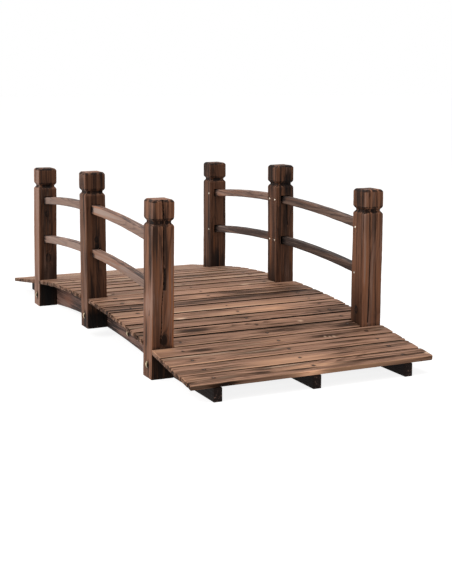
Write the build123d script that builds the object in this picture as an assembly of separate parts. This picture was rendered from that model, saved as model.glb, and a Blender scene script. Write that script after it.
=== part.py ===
from build123d import *
import math
import os

# Arched garden bridge of planed softwood, in millimetres.
# +X runs along the walkway to the near end, -Y is the left side and +Z is up.
# The origin is on the ground under the middle of the deck.

# Overall
bridge_length = 1500.0
bridge_width = 672.0
post_spacing = 485.0

# Stringers: three planks on edge, each in two halves that meet at mid-span
stringer_thickness = 22.0
arch_span = 930.0
arch_rise = 27.0
half_joint = 0.6

# Deck boards, nailed across the stringers
deck_crown = 115.5
deck_radius = 3530.0
board_thickness = 12.0
board_arris = 1.5
board_corner = 6.0
board_seat = 0.1
bay_gap = 3.5
apron_gap = 1.5
post_board_side_gap = 1.0
boards_per_bay = 7
boards_per_apron = 4

# Posts, set back a little from the board ends
post_setback = 2.5
post_side = 59.0
post_height = 446.0
post_corner = 2.5
middle_post_lift = 27.5
cap_height = 56.5
cap_chamfer = 5.0
groove_depth = 6.0
groove_mouth = 17.0
groove_floor = 3.0

# Arched rails, let into blind mortises in the posts
rail_thickness = 22.0
rail_depth = 22.5
rail_corner = 2.0
rail_radius = 4000.0
upper_rail_level = 368.5
lower_rail_level = 244.0
tenon_length = 22.0
mortise_side_play = 1.5
mortise_top_play = 2.5
mortise_seat = 0.2
mortise_end_play = 1.0

# Splice plates that join the stringer halves
splice_length = 460.0
splice_height = 50.0
splice_thickness = 20.0
splice_base = 29.0

# Carriage bolts
bolt_diameter = 6.0
bolt_play = 0.25
bolt_head_diameter = 16.0
bolt_head_height = 4.0
bolt_tip = 3.0
nut_width = 10.0
nut_height = 5.0
post_bolt_height = 33.0
splice_bolt_end_margin = 36.0
splice_bolt_rise = 15.0

# Added to every cut so that it runs clear of the faces that it opens
overrun = 1.0

# Worked out from the driving dimensions
half_length = bridge_length / 2
post_outer_face = bridge_width / 2 - post_setback
half_post = post_side / 2
post_line = post_outer_face - half_post
post_inner_face = post_outer_face - post_side
stringer_line = post_inner_face - stringer_thickness / 2
seat_crown = deck_crown - board_thickness - board_seat
apron_angle = math.asin(post_spacing / deck_radius)
arch_radius = ((arch_span / 2) ** 2 + arch_rise**2) / (2 * arch_rise)
groove_level = post_height - cap_height
apron_start = post_spacing + half_post
apron_end = half_length - board_thickness * math.sin(apron_angle)
splice_bolt_reach = splice_length / 2 - splice_bolt_end_margin
splice_bolt_height = splice_base + splice_bolt_rise

ends = {"near": 1, "far": -1}
sides = {"left": -1, "right": 1}
stations = {"near": 1, "middle": 0, "far": -1}
stringer_places = {"left": -stringer_line, "middle": 0, "right": stringer_line}
# The side of each stringer that its splice plate lies on
splice_sides = {"left": 1, "middle": 1, "right": -1}
rail_levels = {"upper": upper_rail_level, "lower": lower_rail_level}


def circle_height(x, crown, radius):
    """Height at x of an arch of this radius that peaks at mid-span."""
    return crown - radius + math.sqrt(radius**2 - x**2)


def seat_height(x):
    """Top of the stringers: an arch between the end posts, then a straight ramp."""
    reach = abs(x)
    if reach <= post_spacing:
        return circle_height(reach, seat_crown, deck_radius)
    ramp_top = circle_height(post_spacing, seat_crown, deck_radius)
    return ramp_top - (reach - post_spacing) * math.tan(apron_angle)


def seat_angle(x):
    """Slope of the stringer tops in degrees, positive where they fall toward +X."""
    reach = min(abs(x), post_spacing)
    return math.degrees(math.copysign(math.asin(reach / deck_radius), x))


def arch_arc(x_from, x_to, crown, radius):
    """Edge of an arch between two places along the bridge, in the XZ plane."""
    stops = (x_from, (x_from + x_to) / 2, x_to)
    return ThreePointArc(*[(x, 0, circle_height(x, crown, radius)) for x in stops])


def slab_across(outline, thickness, y):
    """Solid of this outline in the XZ plane, centred on y."""
    return Pos(0, y, 0) * extrude(make_face(outline), thickness / 2, dir=(0, 1, 0), both=True)


def across(x, y, z):
    """Frame at a point whose own Z runs along -Y."""
    return Plane(origin=(x, y, z), x_dir=(1, 0, 0), z_dir=(0, -1, 0)).location


def bolt_hole(x, z, y_from, y_to):
    """Round cut along Y between two faces, run out past both."""
    low = min(y_from, y_to) - overrun
    high = max(y_from, y_to) + overrun
    radius = bolt_diameter / 2 + bolt_play
    return across(x, (low + high) / 2, z) * Cylinder(radius, high - low)


def carriage_bolt(x, z, y_head, y_nut):
    """Domed bolt from its head's face at y_head to a nut on the face at y_nut."""
    grip = abs(y_nut - y_head)
    head_radius = bolt_head_diameter / 2
    shank_radius = bolt_diameter / 2
    shank_end = -(grip + nut_height + bolt_tip)
    dome = (head_radius**2 + bolt_head_height**2) / (2 * bolt_head_height)
    shoulder = dome * math.sin(math.asin(head_radius / dome) / 2)
    shoulder_height = bolt_head_height - dome + math.sqrt(dome**2 - shoulder**2)
    outline = [
        ThreePointArc((0, 0, bolt_head_height), (shoulder, 0, shoulder_height), (head_radius, 0, 0)),
        Polyline(
            (head_radius, 0, 0),
            (shank_radius, 0, 0),
            (shank_radius, 0, shank_end),
            (0, 0, shank_end),
            (0, 0, bolt_head_height),
        ),
    ]
    bolt = revolve(make_face(outline), Axis.Z)
    nut = extrude(RegularPolygon(nut_width / 2, 6, major_radius=False), nut_height)
    bolt += Pos(0, 0, -grip - nut_height) * nut
    facing = across(x, y_head, z)
    if y_nut < y_head:
        facing = facing * Rot(180, 0, 0)
    return facing * bolt


def post_bolt(end_sign, side):
    """Place of the bolt through one post: x, z, outer face and the face under the nut."""
    lift = 0 if end_sign else middle_post_lift
    nut_face = post_inner_face - stringer_thickness
    if not end_sign:
        nut_face -= splice_thickness
    return end_sign * post_spacing, lift + post_bolt_height, side * post_outer_face, side * nut_face


def splice_faces(name):
    """Free face of a stringer and free face of the splice plate behind it."""
    y = stringer_places[name]
    toward = splice_sides[name]
    bare_face = y - toward * stringer_thickness / 2
    plate_face = y + toward * (stringer_thickness / 2 + splice_thickness)
    return bare_face, plate_face


def rail_bar(section, level, end_sign, reach_in, y):
    """Section swung along the rail's arch from a middle post to an end post, into both by reach_in."""
    start = math.degrees(math.asin((half_post - reach_in) / rail_radius))
    finish = math.degrees(math.asin((post_spacing - half_post + reach_in) / rail_radius))
    pivot = Axis((0, y, level - rail_radius), (0, 1, 0))
    crown = Plane(origin=(0, y, level), x_dir=(0, 1, 0), z_dir=(1, 0, 0))
    bar = revolve(crown * section, pivot, revolution_arc=finish - start).rotate(pivot, start)
    return bar if end_sign > 0 else bar.mirror(Plane.YZ)


def rail(level, end_sign, side):
    section = RectangleRounded(rail_thickness, rail_depth, rail_corner)
    return rail_bar(section, level, end_sign, tenon_length, side * post_line)


def mortise(level, end_sign, side):
    """Cut for both ends of one rail, with its play above and beside the tenon."""
    depth = rail_depth + mortise_seat + mortise_top_play
    raised = level + (mortise_top_play - mortise_seat) / 2
    section = Rectangle(rail_thickness + 2 * mortise_side_play, depth)
    return rail_bar(section, raised, end_sign, tenon_length + mortise_end_play, side * post_line)


def post_blank():
    """Square post with rounded corners, and a groove and a chamfer worked on all four faces."""
    edge = [
        (half_post, 0),
        (half_post, groove_level - groove_mouth / 2),
        (half_post - groove_depth, groove_level - groove_floor / 2),
        (half_post - groove_depth, groove_level + groove_floor / 2),
        (half_post, groove_level + groove_mouth / 2),
        (half_post, post_height - cap_chamfer),
        (half_post - cap_chamfer, post_height),
    ]
    mirrored = [(-x, z) for x, z in reversed(edge)]
    outline = Polyline(*[(x, 0, z) for x, z in edge + mirrored], close=True)
    worked = slab_across([outline], post_side, 0)
    prism = extrude(RectangleRounded(post_side, post_side, post_corner), post_height)
    return prism & worked & (Rot(0, 0, 90) * worked)


def post(end_sign, side):
    lift = 0 if end_sign else middle_post_lift
    body = Pos(end_sign * post_spacing, side * post_line, lift) * post_blank()
    for level in rail_levels.values():
        for bay_sign in ends.values():
            if end_sign in (0, bay_sign):
                body -= mortise(level, bay_sign, side)
    body -= bolt_hole(*post_bolt(end_sign, side))
    return body


def stringer_half(name, end_sign):
    """Half of a stringer: flat foot, arched underside, arched top and a straight ramp."""
    tip = end_sign * half_length
    heel = end_sign * arch_span / 2
    ramp = end_sign * post_spacing
    middle = end_sign * half_joint / 2
    crown = circle_height(middle, arch_rise, arch_radius)
    outline = [
        Polyline((ramp, 0, seat_height(ramp)), (tip, 0, seat_height(tip)), (tip, 0, 0), (heel, 0, 0)),
        arch_arc(heel, middle, arch_rise, arch_radius),
        Line((middle, 0, crown), (middle, 0, seat_height(middle))),
        arch_arc(middle, ramp, seat_crown, deck_radius),
    ]
    y = stringer_places[name]
    body = slab_across(outline, stringer_thickness, y)
    body -= bolt_hole(end_sign * splice_bolt_reach, splice_bolt_height, *splice_faces(name))
    if name in sides:
        body -= bolt_hole(*post_bolt(end_sign, sides[name]))
        body -= bolt_hole(*post_bolt(0, sides[name]))
    return body


def splice_plate(name):
    bare_face, plate_face = splice_faces(name)
    middle = plate_face - splice_sides[name] * splice_thickness / 2
    body = Pos(0, middle, splice_base + splice_height / 2) * Box(
        splice_length, splice_thickness, splice_height
    )
    for end_sign in ends.values():
        body -= bolt_hole(end_sign * splice_bolt_reach, splice_bolt_height, bare_face, plate_face)
    if name in sides:
        body -= bolt_hole(*post_bolt(0, sides[name]))
    return body


def board(x, width, length):
    """Flat board laid across the stringers at x, its corners rounded and its top edges eased."""
    plank = extrude(RectangleRounded(width, length, board_corner), board_thickness)
    top = plank.faces().sort_by(Axis.Z)[-1]
    plank = chamfer(top.edges(), board_arris)
    return Pos(x, 0, seat_height(x) + board_seat) * Rot(0, seat_angle(x), 0) * plank


def spread(start, finish, count, gap_before, gap_after):
    """Centres and common width of boards that share a length, with a gap between neighbours."""
    width = (finish - start - count * gap_before - gap_after) / count
    centres = [start + gap_before + width / 2 + i * (width + gap_before) for i in range(count)]
    return centres, width


def deck_boards():
    """Every board by name, numbered outward from the middle of the bridge."""
    short = 2 * (post_inner_face - post_board_side_gap)
    boards = {"middle_post_board": board(0, post_side, short)}
    bay_centres, bay_width = spread(half_post, post_spacing - half_post, boards_per_bay, bay_gap, bay_gap)
    apron_centres, apron_width = spread(apron_start, apron_end, boards_per_apron, apron_gap, 0)
    for end, sign in ends.items():
        boards[f"{end}_post_board"] = board(sign * post_spacing, post_side, short)
        for number, x in enumerate(bay_centres, start=1):
            boards[f"{end}_bay_board_{number}"] = board(sign * x, bay_width, bridge_width)
        for number, x in enumerate(apron_centres, start=1):
            boards[f"{end}_apron_board_{number}"] = board(sign * x, apron_width, bridge_width)
    return boards


def pieces():
    """Every piece of the bridge by name."""
    made = deck_boards()
    for name in stringer_places:
        made[f"{name}_stringer"] = Compound([stringer_half(name, sign) for sign in ends.values()])
    made["splice_plates"] = Compound([splice_plate(name) for name in stringer_places])
    for station, end_sign in stations.items():
        for side_name, side in sides.items():
            made[f"{station}_{side_name}_post"] = post(end_sign, side)
    for end, end_sign in ends.items():
        for side_name, side in sides.items():
            for level_name, level in rail_levels.items():
                made[f"{end}_{side_name}_{level_name}_rail"] = rail(level, end_sign, side)
    made["post_bolts"] = Compound(
        [carriage_bolt(*post_bolt(sign, side)) for sign in stations.values() for side in sides.values()]
    )
    made["splice_bolts"] = Compound(
        [
            carriage_bolt(sign * splice_bolt_reach, splice_bolt_height, *splice_faces(name))
            for name in stringer_places
            for sign in ends.values()
        ]
    )
    return made


os.makedirs("parts", exist_ok=True)
for node, shape in pieces().items():
    export_step(shape, f"parts/{node}.step")
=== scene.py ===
# %% [markdown]
# # An arched garden bridge in scorched softwood
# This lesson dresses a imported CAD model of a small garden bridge: twenty-five boards on three
# arched stringers, six grooved posts and eight arched rails, all of fir that was passed under a
# flame and brushed. The CAD model fixes every size. Blender adds what a saw, a flame and the
# weather do to wood, so each CAD piece is replaced by a worked one that lies in the same place.

import math
import random

import bmesh
import bpy
import numpy as np
from mathutils import Matrix, Vector


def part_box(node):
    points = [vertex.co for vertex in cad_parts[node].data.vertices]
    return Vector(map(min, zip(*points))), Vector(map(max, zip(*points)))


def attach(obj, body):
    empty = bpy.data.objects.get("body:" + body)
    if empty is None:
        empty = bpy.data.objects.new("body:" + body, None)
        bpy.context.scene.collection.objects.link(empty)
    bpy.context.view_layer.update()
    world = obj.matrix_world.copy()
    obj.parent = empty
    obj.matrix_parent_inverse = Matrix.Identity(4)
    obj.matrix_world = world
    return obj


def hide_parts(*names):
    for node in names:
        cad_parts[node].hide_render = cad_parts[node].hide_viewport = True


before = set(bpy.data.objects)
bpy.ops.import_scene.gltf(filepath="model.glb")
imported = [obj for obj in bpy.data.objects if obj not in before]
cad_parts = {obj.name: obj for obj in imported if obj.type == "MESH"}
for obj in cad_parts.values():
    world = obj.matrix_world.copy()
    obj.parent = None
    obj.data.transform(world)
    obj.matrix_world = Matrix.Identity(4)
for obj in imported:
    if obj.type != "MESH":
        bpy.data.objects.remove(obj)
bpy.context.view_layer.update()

# %% [markdown]
# ## Working as by hand
# An operator acts on what is selected, as a key does when you sit at the screen. Short helpers stand
# for the mouse: one clicks on a piece, one goes into edit mode, one picks vertices, edges or faces by
# where they are, and one goes back out. Modifiers are applied at once, so that every piece ends as a
# plain mesh that can be measured and painted.


# %% The mouse: click on a piece, enter edit mode, pick parts of it, leave
def click(piece):
    bpy.ops.object.select_all(action="DESELECT")
    piece.select_set(True)
    bpy.context.view_layer.objects.active = piece


def enter(piece):
    click(piece)
    bpy.ops.object.mode_set(mode="EDIT")
    bpy.ops.mesh.select_all(action="SELECT")


def pick(piece, kind, test):
    """Selects the vertices, edges or faces (VERT, EDGE or FACE) that pass the test."""
    bpy.ops.mesh.select_mode(type=kind)
    bpy.ops.mesh.select_all(action="DESELECT")
    shape = bmesh.from_edit_mesh(piece.data)
    for part in {"VERT": shape.verts, "EDGE": shape.edges, "FACE": shape.faces}[kind]:
        if test(part):
            part.select_set(True)
    shape.select_flush_mode()
    bmesh.update_edit_mesh(piece.data)


def slice_through(axis, places):
    """Cuts across the piece at each place along an axis, to give it more mesh."""
    for place in places:
        bpy.ops.mesh.select_all(action="SELECT")
        bpy.ops.mesh.bisect(plane_co=Vector(axis) * place, plane_no=axis)


def leave():
    """Turns every face outward and goes back to object mode."""
    bpy.ops.mesh.select_all(action="SELECT")
    bpy.ops.mesh.normals_make_consistent(inside=False)
    bpy.ops.object.mode_set(mode="OBJECT")


def apply_place(piece):
    """Puts a piece's place into its mesh, so that its object sits at the origin."""
    click(piece)
    bpy.ops.object.transform_apply(location=True, rotation=True, scale=True)


def apply_modifier(piece, kind, **settings):
    click(piece)
    modifier = piece.modifiers.new(kind.lower(), kind)
    for key, value in settings.items():
        setattr(modifier, key, value)
    bpy.ops.object.modifier_apply(modifier=modifier.name)


def block(name, size, place=(0, 0, 0), turn=0.0):
    """A cube of a size and at a place, from which a piece or a cutter is worked."""
    bpy.ops.mesh.primitive_cube_add(size=1, location=place, rotation=(0, 0, turn))
    piece = bpy.context.object
    piece.name = name
    piece.scale = size
    apply_place(piece)
    return piece


def cut_copy(blank, name, place):
    """A copy of a blank with its own mesh, moved to its place on the bridge."""
    piece = blank.copy()
    piece.data = blank.data.copy()
    piece.name = name
    piece.data.name = name
    bpy.context.collection.objects.link(piece)
    piece.matrix_world = place
    apply_place(piece)
    return piece


def join(pieces, name):
    """One object out of several, as Ctrl+J makes it."""
    click(pieces[0])
    for piece in pieces:
        piece.select_set(True)
    bpy.ops.object.join()
    joined = bpy.context.view_layer.objects.active
    joined.name = name
    return joined


def triangles(pieces):
    return sum(len(face.vertices) - 2 for piece in pieces for face in piece.data.polygons)


bpy.ops.object.select_all(action="DESELECT")
print("CAD nodes to dress:", len(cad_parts))

# %% [markdown]
# ## The sizes that the pieces share
# Most sizes are read back from the boxes of the CAD nodes. A box can't tell the radii of the two
# arches, the eased edges of the CAD boards and the height of the bolts in the posts, so these are
# repeated here in metres.

# %% Read sizes from the CAD boxes
deck_radius = 3.530
rail_radius = 4.000
arris = 0.0015
post_bolt_rise = 0.033

post_low, post_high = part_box("near_left_post")
post_side = post_high.x - post_low.x
post_height = post_high.z - post_low.z
post_spacing = (post_high.x + post_low.x) / 2
half_post = post_side / 2
board_low, board_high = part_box("middle_post_board")
board_thickness = board_high.z - board_low.z
stringer_lines = {}
for side in ("left", "middle", "right"):
    stringer_low, stringer_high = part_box(f"{side}_stringer")
    stringer_lines[side] = (stringer_low.y + stringer_high.y) / 2
stringer_thickness = stringer_high.y - stringer_low.y
post_outer = -post_low.y
print(f"Posts {post_side:.3f} x {post_height:.3f}, boards {board_thickness:.3f} thick")


def middle_of(node):
    low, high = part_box(node)
    return (low + high) / 2


def deck_tilt(x):
    """Slope of the deck at x, positive where it falls toward the near end."""
    reach = min(abs(x), post_spacing)
    return math.copysign(math.asin(reach / deck_radius), x)


def board_size(node):
    """Width along the walkway and length across it of a board, which may lie tilted."""
    low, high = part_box(node)
    tilt = abs(deck_tilt((low.x + high.x) / 2))
    width = (high.x - low.x - (board_thickness - arris) * math.sin(tilt)) / math.cos(tilt)
    return width, high.y - low.y


# %% [markdown]
# ## How far the posts lean
# The posts of the real bridge aren't quite plumb. The lean of each one is given in metres at its top,
# toward the right where it is positive. Rails and screws move with the posts that hold them, so the
# lean between two posts is found by interpolation.

# %% Lean of the posts, and of what they hold
lean_at_top = {
    "left": {"far": 0.0036, "middle": -0.0034, "near": 0.0036},
    "right": {"far": 0.0, "middle": -0.0038, "near": 0.0020},
}


def lean(side, x, height):
    """Sideways shift of a point at x and a height above the ground."""
    shifts = [lean_at_top[side][station] for station in ("far", "middle", "near")]
    return float(np.interp(x, (-post_spacing, 0, post_spacing), shifts)) * height / post_height


print(f"Lean of the near left post at its top: {lean('left', post_spacing, post_height):.4f}")

# %% [markdown]
# ## Weather: noise that bends the wood
# Sawn boards are never quite straight. A Displace modifier moves every vertex along one axis by a
# cloud texture. Coarse clouds warp a board, finer ones make its edges wander. The texture is read in
# local space, which here is the bridge's own space, so no two boards get the same bend.


# %% Cloud textures for warp, wandering edges and rough-sawn ends
def clouds(name, size, depth):
    texture = bpy.data.textures.new(name, "CLOUDS")
    texture.noise_scale = size
    texture.noise_depth = depth
    return texture


warp_clouds = clouds("slow_warp", 0.16, 1)
edge_clouds = clouds("wandering_edge", 0.055, 2)
end_clouds = clouds("rough_sawn_end", 0.022, 2)
plane_clouds = clouds("hand_planed", 0.020, 3)


def bend(piece, texture, axis, amount):
    apply_modifier(
        piece,
        "DISPLACE",
        texture=texture,
        texture_coords="LOCAL",
        direction=axis,
        strength=amount,
        mid_level=0.5,
    )


print("Clouds:", [texture.name for texture in bpy.data.textures])

# %% [markdown]
# ## Chisel and brush
# Cracks, dents and knots are real shape, not only colour. By hand you would paint a vertex group and
# let a Displace modifier push it in along the normals. Here the weights come from a distance: near
# the crack they are one, further off they are nothing. The same distances later become colour, so a
# crack is deep and dark at the same place.


# %% Distances, a chisel that follows weights, and closer mesh where it will cut
def corners_of(piece):
    spots = np.empty(len(piece.data.vertices) * 3)
    piece.data.vertices.foreach_get("co", spots)
    return spots.reshape(-1, 3)


def normals_of(piece):
    facing = np.empty(len(piece.data.vertices) * 3)
    piece.data.vertices.foreach_get("normal", facing)
    return facing.reshape(-1, 3)


def blot(spots, centre, reach):
    """One at the centre and fading to nothing at about twice the reach along each axis."""
    away = (spots - np.array(centre)) / np.array(reach)
    return np.exp(-(away**2).sum(axis=1))


def chisel(piece, weights, depth):
    """Pushes the surface in along its normals by a depth times the weights, or out if that is negative."""
    group = piece.vertex_groups.new(name="chisel")
    for index in np.nonzero(weights > 0.01)[0]:
        group.add([int(index)], float(min(weights[index], 1.0)), "REPLACE")
    apply_modifier(
        piece, "DISPLACE", direction="NORMAL", strength=-depth, mid_level=0.0, vertex_group=group.name
    )
    piece.vertex_groups.clear()


def refine(piece, test, cuts):
    """Divides the faces that pass the test, so that a small mark has enough mesh under it."""
    enter(piece)
    pick(piece, "FACE", test)
    bpy.ops.mesh.subdivide(number_cuts=cuts)
    leave()


# %% [markdown]
# ## Colour that is carried by the mesh
# Each wooden piece carries two colour attributes. *Timber* tells how the plank grew and was treated: a
# seed that moves the grain, how light it is, and how much flame it had; how light it is also carries
# painted shade and painted highlights in a few places. The *wear* attribute marks places:
# scorch and painted shade in red, bare warm wood and painted highlights in green, pale scuffs and a
# painted sheen in blue, and knots in alpha. The wood materials read both. The bolts carry them too,
# and use the red of wear for painted shade on their near side.


# %% Write the two attributes
def paint(piece, seed, tone, flame, scorch_and_shade, warm=0.0, pale=0.0, knot=0.0):
    """Stores one value for a whole piece, or one for each vertex, in every channel."""
    count = len(piece.data.vertices)
    for name, channels in (("timber", (seed, tone, flame, 1.0)), ("wear", (scorch_and_shade, warm, pale, knot))):
        values = np.stack([np.broadcast_to(channel, count) for channel in channels], axis=1)
        layer = piece.data.attributes.new(name, "FLOAT_COLOR", "POINT")
        layer.data.foreach_set("color", values.astype(np.float32).ravel())


def ride_smooth(piece, sharp_from):
    """The piece rides on the bridge, and its shading is sharp only from an angle in degrees."""
    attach(piece, "root")
    click(piece)
    bpy.ops.object.shade_smooth_by_angle(angle=math.radians(sharp_from))


def dress(piece, nodes):
    """The piece rides on the bridge and stands for its CAD nodes, which are hidden."""
    ride_smooth(piece, 35)
    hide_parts(*nodes)


# %% [markdown]
# ## One deck board
# A board is a planed softwood slat, 57 by 12 mm. Its outline is a plane whose corners are rounded, a
# little at the left end and more at the right, as the saw and the sander left them. It is extruded to
# its thickness, and the sharp edges are found by angle and eased with a bevel. Many cuts across it
# then give an even mesh to bend and paint. There are three kinds: boards of the bays, boards of the
# sloping aprons, and short ones between the posts.

# %% Model a board of each kind
corner_roundings = {-1: 0.0010, 1: 0.0085}
worn_edge = 0.0022
board_lane_shares = np.linspace(-0.44, 0.44, 12)
board_end_share = 0.495
board_mesh = 0.0055


def board_blank(name, width, length):
    bpy.ops.mesh.primitive_plane_add(size=1)
    blank = bpy.context.object
    blank.name = name
    blank.scale = (width, length, 1)
    apply_place(blank)
    enter(blank)
    for end, rounding in corner_roundings.items():
        pick(blank, "VERT", lambda vert: vert.co.y * end > length / 2 - 1e-5)
        bpy.ops.mesh.bevel(offset=rounding, segments=4, affect="VERTICES")
    bpy.ops.mesh.select_all(action="SELECT")
    bpy.ops.mesh.extrude_region_move(TRANSFORM_OT_translate={"value": (0, 0, -board_thickness)})
    bpy.ops.mesh.select_all(action="SELECT")
    bpy.ops.transform.translate(value=(0, 0, board_thickness / 2))
    bpy.ops.mesh.normals_make_consistent(inside=False)
    bpy.ops.mesh.select_mode(type="EDGE")
    bpy.ops.mesh.select_all(action="DESELECT")
    bpy.ops.mesh.edges_select_sharp(sharpness=math.radians(60))
    bpy.ops.mesh.bevel(offset=worn_edge, segments=2, affect="EDGES")
    bpy.ops.mesh.select_mode(type="FACE")
    slice_through((1, 0, 0), board_lane_shares * width)
    stations = np.linspace(-board_end_share, board_end_share, round(length / board_mesh))
    slice_through((0, 1, 0), stations * length)
    leave()
    return blank


example_boards = {"bay": "near_bay_board_1", "apron": "near_apron_board_1", "post": "middle_post_board"}
board_blanks = {}
for kind, example in example_boards.items():
    board_blanks[kind] = board_blank(kind + "_board_blank", *board_size(example))
    print(kind, "board:", [round(size, 4) for size in board_size(example)])

# %% [markdown]
# ## Marks on the deck
# A deck of this kind is known by its marks: patches that the flame scorched, warm wood that was rubbed
# bare, and pale scuffs. They are listed by board, each with its place across the bridge, its half
# length in metres and its strength.

# %% Marks that are seen on the deck
scorched_patches = {
    "near_apron_board_4": [(-0.05, 0.04, 0.4), (0.19, 0.08, 0.5), (0.26, 0.08, 0.4), (-0.14, 0.02, 0.7)],
    "near_apron_board_3": [(0.12, 0.030, 0.8), (0.29, 0.04, 0.5), (-0.24, 0.06, 0.25)],
    "near_apron_board_2": [(0.20, 0.09, 0.4), (-0.07, 0.05, 0.3)],
    "near_apron_board_1": [(0.13, 0.04, 0.7), (-0.22, 0.02, 0.8), (0.26, 0.04, 0.3)],
    "near_post_board": [(0.06, 0.05, 1.0), (0.24, 0.03, 0.5)],
    "near_bay_board_7": [(-0.175, 0.025, 0.9), (0.03, 0.03, 0.5)],
    "near_bay_board_6": [(-0.01, 0.03, 0.8), (0.20, 0.10, 0.55)],
    "near_bay_board_5": [(0.24, 0.09, 0.6)],
    "near_bay_board_3": [(-0.24, 0.10, 0.9), (0.00, 0.10, 0.7), (0.22, 0.09, 0.9)],
    "near_bay_board_2": [(0.20, 0.10, 0.8), (0.10, 0.04, 0.5)],
    "near_bay_board_1": [(0.27, 0.04, 0.6)],
    "far_bay_board_1": [(0.20, 0.09, 0.5)],
    "far_bay_board_3": [(0.05, 0.20, 0.6)],
}
warm_patches = {
    "near_apron_board_4": [(0.0, 0.07, 0.9), (0.30, 0.05, 0.5), (-0.31, 0.03, 0.5)],
    "near_apron_board_3": [(-0.03, 0.12, 0.8)],
    "near_apron_board_1": [(0.0, 0.08, 0.6), (-0.31, 0.03, 0.8)],
    "near_bay_board_5": [(-0.03, 0.08, 0.5), (0.12, 0.05, 0.6)],
    "near_bay_board_4": [(0.0, 0.25, 0.7)],
    "near_bay_board_2": [(-0.05, 0.08, 0.5)],
    "near_bay_board_1": [(0.05, 0.15, 0.4)],
}
pale_scuffs = {
    "near_apron_board_1": [(0.135, 0.004, 1.0), (0.147, 0.003, 0.9), (0.160, 0.004, 1.0)],
    "near_apron_board_4": [(0.335, 0.006, 1.2)],
    "near_bay_board_7": [(0.132, 0.006, 0.8)],
    "near_bay_board_5": [(-0.172, 0.010, 0.8)],
    "middle_post_board": [(0.17, 0.01, 0.7), (0.262, 0.006, 0.7), (-0.262, 0.006, 0.7)],
}
print("Boards with marks of their own:", len(set(scorched_patches) | set(warm_patches) | set(pale_scuffs)))

# %% [markdown]
# ## Laying a board
# Every board is copied from a blank, tilted to the arch and given its own bends. No board of a real
# deck lies quite even, so each one is slid and turned a little, and its near edge stands a hair proud
# of the next board, which is what draws the gaps in the light. A nail goes through it over each
# stringer, and the hammer leaves a shallow dent there. Some ends have split along the grain.

# %% Lay one board and bend it
dice = random.Random(1500)
near_drift, last_board_drift = 0.0015, 0.0042
slide_play = {"apron": 0.0004, "bay": 0.0010}
swing_play = 0.0012
proud_edges = {("near", "bay"): 0.0008, ("far", "bay"): 0.0014}
proud_edge, proud_spread = 0.0002, (0.6, 1.3)
board_warp, board_wander = 0.0012, 0.0011
sawn_ends = {"apron": 0.0006, "bay": 0.0010, "post": 0.0010}


def lay_board(node):
    """A bent copy of a blank, with the matrix and the tilt that it lies at."""
    end, kind = node.split("_")[:2]
    centre = middle_of(node)
    slide = 0
    if kind != "post":
        slide = near_drift if end == "near" else 0.0
        slide = last_board_drift if node == "near_apron_board_4" else slide
        slide += dice.uniform(-slide_play[kind], slide_play[kind])
    swing = dice.uniform(-swing_play, swing_play)
    proud = proud_edges.get((end, kind), proud_edge) * dice.uniform(*proud_spread)
    tilt = deck_tilt(centre.x) - proud / board_size(node)[0]
    lie = Matrix.Translation(centre + Vector((0, slide, proud / 2))) @ Matrix.Rotation(tilt, 4, "Y")
    board = cut_copy(board_blanks[kind], node + "_slat", lie @ Matrix.Rotation(swing, 4, "Z"))
    bend(board, warp_clouds, "Z", board_warp)
    bend(board, edge_clouds, "X", board_wander)
    bend(board, end_clouds, "Y", sawn_ends[kind])
    return board, lie, tilt


print("Kinds of board to lay:", list(board_blanks))

# %% Nail one board and split its ends
nail_places = []
nail_stray, nail_stray_across = 0.004, 0.003
short_board_share = 0.94
dent_radius, dent_depth, dent_mesh = 0.0060, 0.0009, 0.010
split_width, split_depth = 0.0022, 0.0022
split_chance, split_lane, split_runs = 0.6, 0.6, (0.02, 0.06)


def nail_board(board, node, lie, tilt):
    """Drives the nails and opens the splits; returns both as weights at the vertices."""
    centre = middle_of(node)
    board_width, board_length = board_size(node)
    nails = []
    for line in stringer_lines.values():
        if "post" in node:
            line *= short_board_share
        along = dice.uniform(-nail_stray, nail_stray)
        across = line + dice.uniform(-nail_stray_across, nail_stray_across)
        nails.append(lie @ Vector((along, across, board_thickness / 2)))
    nail_places.extend((spot, tilt) for spot in nails)
    refine(
        board,
        lambda face: face.normal.z > 0.9
        and any((face.calc_center_median() - nail).length < dent_mesh for nail in nails),
        2,
    )
    spots = corners_of(board)
    top = normals_of(board)[:, 2] > 0.5
    dents = sum(blot(spots, nail, (dent_radius, dent_radius, dent_mesh)) for nail in nails) * top
    chisel(board, dents, dent_depth)
    splits = np.zeros(len(spots))
    for end in (-1, 1):
        if dice.random() < split_chance:
            lane = centre.x + dice.uniform(-split_lane, split_lane) * board_width / 2
            run = dice.uniform(*split_runs)
            inward = board_length / 2 - end * spots[:, 1]
            split = np.exp(-(((spots[:, 0] - lane) / split_width) ** 2)) * np.clip(1 - inward / run, 0, 1)
            splits = np.maximum(splits, split)
    chisel(board, splits, split_depth)
    return dents, splits


print(f"Nails of a short board at {short_board_share:.0%} of the way to the outer stringers")

# %% [markdown]
# ## Painting a board
# The paint goes where the wood wears: into dents and splits and onto end grain. The gaps are painted
# dark, as painted shade, and each board's near top edge is painted warm, as a painted highlight. The
# front edge of the bridge is a case of its own: it is bare and warm in the middle with a painted
# highlight there, and has one burnt smear.

# %% Paint one board
stray_patch, patch_stretch = 0.014, 1.4
scorch_reach, warm_reach, scuff_reach = 0.014, 0.024, 0.008
scuff_lane = 0.012
end_scorch = {"apron": 0.25, "bay": 0.32, "post": 0.32}
end_warmth = {"apron": 0.8, "bay": 0.3, "post": 0.3}
gap_shade_strength = {"apron": 1.2, "bay": 2.2, "post": 1.2}
gap_turn = {"apron": 0.90, "bay": 0.97, "post": 0.90}
gap_from, gap_fade = 0.93, 0.05
edge_highlight_from, edge_highlight_fade = 0.80, 0.10
end_fade = 0.03
board_tones, board_flames = (-0.20, 0.16), (0.1, 0.8)
front_smear, front_warmth_and_highlight, front_highlight = (-0.245, 0.024), (0.08, 0.20), (-0.018, 0.036)


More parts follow.
